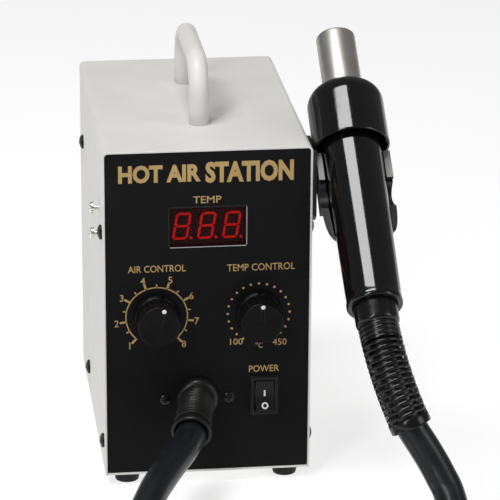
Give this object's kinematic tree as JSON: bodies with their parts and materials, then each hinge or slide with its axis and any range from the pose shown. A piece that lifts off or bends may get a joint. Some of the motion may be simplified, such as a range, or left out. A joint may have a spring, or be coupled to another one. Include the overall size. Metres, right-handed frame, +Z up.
{
  "type": "hot air station",
  "caption": "Bench hot air station: tall steel case with bent carry handle, red digit window, air and heat dials, power rocker, hose on a coil and a handpiece leaning in a side cradle",
  "frame": {"origin": "On the bench under the middle of the bounding box of everything except the hose", "axes": "+Z up; the front panel with its dials faces -Y; +X is the viewer's right, where the handpiece hangs"},
  "size_m": [0.2109, 0.4712, 0.2559],
  "materials": {
    "case_steel": "light warm grey powder coat",
    "panel_black": "satin black coat",
    "black_steel": "black oxide",
    "zinc_steel": "zinc plate",
    "stainless": "fine brushed stainless",
    "gloss_black": "glossy black moulding",
    "matte_black": "satin black moulding",
    "foot_rubber": "matt black rubber",
    "hose_rubber": "dark rubber with a soft sheen",
    "red_filter": "dark red filter sheet",
    "led_red": "lit red segments",
    "white_plastic": "white moulding",
    "green_board": "green circuit board",
    "part_blue": "component bodies",
    "brass": "turned brass",
    "aluminium": "extruded aluminium",
    "iron_core": "varnished iron laminations",
    "mica": "mica sheet",
    "ceramic": "fired ceramic",
    "heater_wire": "oxidised resistance wire"
  },
  "bodies": {
    "station": {"case_cover": "case_steel", "chassis_tray": "case_steel", "front_panel": "panel_black", "rear_panel": "panel_black", "cover_brackets": "zinc_steel", "cover_screws": "black_steel", "hanger_screws": "zinc_steel", "carry_handle": "case_steel", "handle_screws": "zinc_steel", "feet": "foot_rubber", "feet_screws": "zinc_steel", "display_window": "red_filter", "display_frame": "matte_black", "led_block": "matte_black", "led_digits": "led_red", "display_board": "green_board", "air_pot": "zinc_steel", "temp_pot": "zinc_steel", "pot_nuts": "zinc_steel", "switch_housing": "gloss_black", "switch_terminals": "brass", "gland_flange": "matte_black", "gland_boot": "matte_black", "gland_screws": "black_steel", "gland_plate": "zinc_steel", "air_spigot": "brass", "air_duct": "white_plastic", "blower_scroll": "matte_black", "blower_lid": "matte_black", "blower_motor": "zinc_steel", "blower_stand": "zinc_steel", "board_bracket": "zinc_steel", "main_board": "green_board", "board_parts": "part_blue", "board_spacers": "brass", "heat_sink": "aluminium", "transformer": "iron_core", "mains_inlet": "matte_black", "inlet_pins": "brass", "inlet_screws": "zinc_steel", "holder_plate": "black_steel", "holder_cradle": "black_steel", "holder_screws": "zinc_steel", "hose_run": "hose_rubber", "hose_coil": "hose_rubber"},
    "air_dial": {"air_knob": "gloss_black", "air_shaft": "aluminium"},
    "temp_dial": {"temp_knob": "gloss_black", "temp_shaft": "aluminium"},
    "power_rocker": {"switch_rocker": "gloss_black"},
    "blower_rotor": {"blower_impeller": "white_plastic", "motor_shaft": "zinc_steel"},
    "handpiece": {"nozzle_barrel": "stainless", "mica_sleeve": "mica", "heater_core": "ceramic", "heater_coil": "heater_wire", "barrel_flange": "zinc_steel", "collar": "gloss_black", "grip": "gloss_black", "hose_guard": "matte_black"}
  },
  "joints": [
    {"name": "air_dial_turn", "type": "hinge", "parent": "station", "child": "air_dial", "pos_m": [-0.0524, -0.03484, 0.1045], "axis": [0, 1, 0], "range_deg": [-154.5, 121.5]},
    {"name": "temp_dial_turn", "type": "hinge", "parent": "station", "child": "temp_dial", "pos_m": [0.0066, -0.03484, 0.1045], "axis": [0, 1, 0], "range_deg": [-152.5, 147.5]},
    {"name": "power_rocker_tilt", "type": "hinge", "parent": "station", "child": "power_rocker", "pos_m": [0.0101, -0.03464, 0.0535], "axis": [1, 0, 0], "range_deg": [0, 22]},
    {"name": "blower_spin", "type": "hinge", "parent": "station", "child": "blower_rotor", "pos_m": [-0.0292, 0.08116, 0.0885], "axis": [1, 0, 0], "continuous": true},
    {"name": "handpiece_lift", "type": "slide", "parent": "station", "child": "handpiece", "axis": [0.0144, -0.6346, 0.7727], "range_m": [0, 0.05], "deforming": ["hose_run"]}
  ]
}
